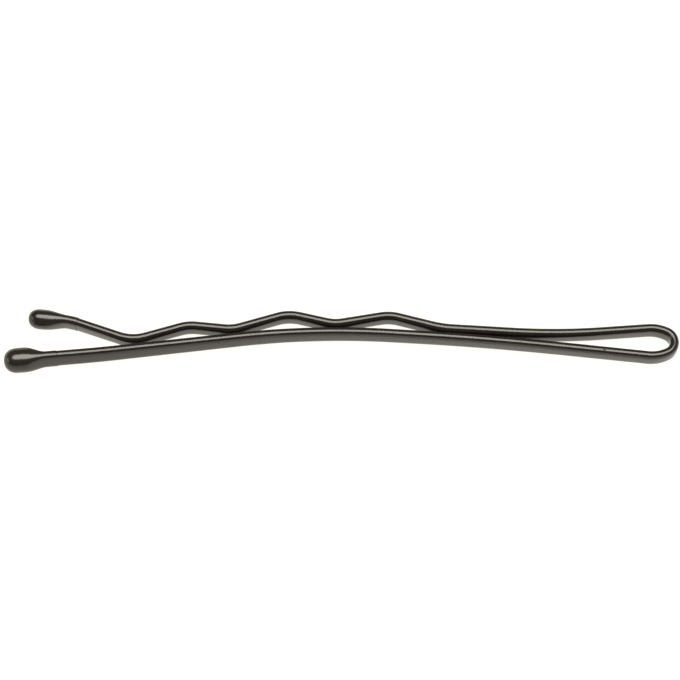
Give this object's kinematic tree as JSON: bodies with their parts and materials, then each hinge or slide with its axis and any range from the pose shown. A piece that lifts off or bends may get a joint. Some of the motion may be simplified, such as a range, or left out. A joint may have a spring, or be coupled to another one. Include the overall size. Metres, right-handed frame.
{
  "type": "bobby pin",
  "caption": "Crimped hair pin of enamelled flat spring wire, bent back at a teardrop eye, with a bowed straight leg, a crimped leg and a dipped bead on each end.",
  "frame": {"origin": "under the middle of the box round the pin, on the surface that the pin lies on when it lies on its side", "axes": "+X along the pin from the tips to the eye, +Y across the legs from the straight leg to the crimped leg, in the plane of the bends, +Z along the width of the wire"},
  "size_m": [0.051, 0.005, 0.002],
  "materials": {
    "spring_steel": "cold-rolled spring steel, bare under the enamel",
    "enamel": "stoved brown-black enamel, glossy, slightly uneven",
    "bead": "dipped brown-black resin, glossy, with a soft edge"
  },
  "bodies": {
    "straight_leg": {"straight_leg_wire": "spring_steel", "straight_leg_enamel": "enamel", "straight_leg_tip": "bead"},
    "spring_loop": {"spring_loop_wire": "spring_steel", "spring_loop_enamel": "enamel"},
    "crimped_leg": {"crimped_leg_wire": "spring_steel", "crimped_leg_enamel": "enamel", "crimped_leg_tip": "bead"}
  },
  "joints": [
    {"name": "straight_leg_flex", "type": "hinge", "parent": "straight_leg", "child": "spring_loop", "pos_m": [0.01976, -0.00133, 0.001], "axis": [0, 0, -1], "range_deg": [0, 10], "stiffness_Nm_per_rad": 0.23},
    {"name": "crimped_leg_flex", "type": "hinge", "parent": "spring_loop", "child": "crimped_leg", "pos_m": [0.01978, 0.00097, 0.001], "axis": [0, 0, -1], "range_deg": [0, 10], "stiffness_Nm_per_rad": 0.23}
  ]
}
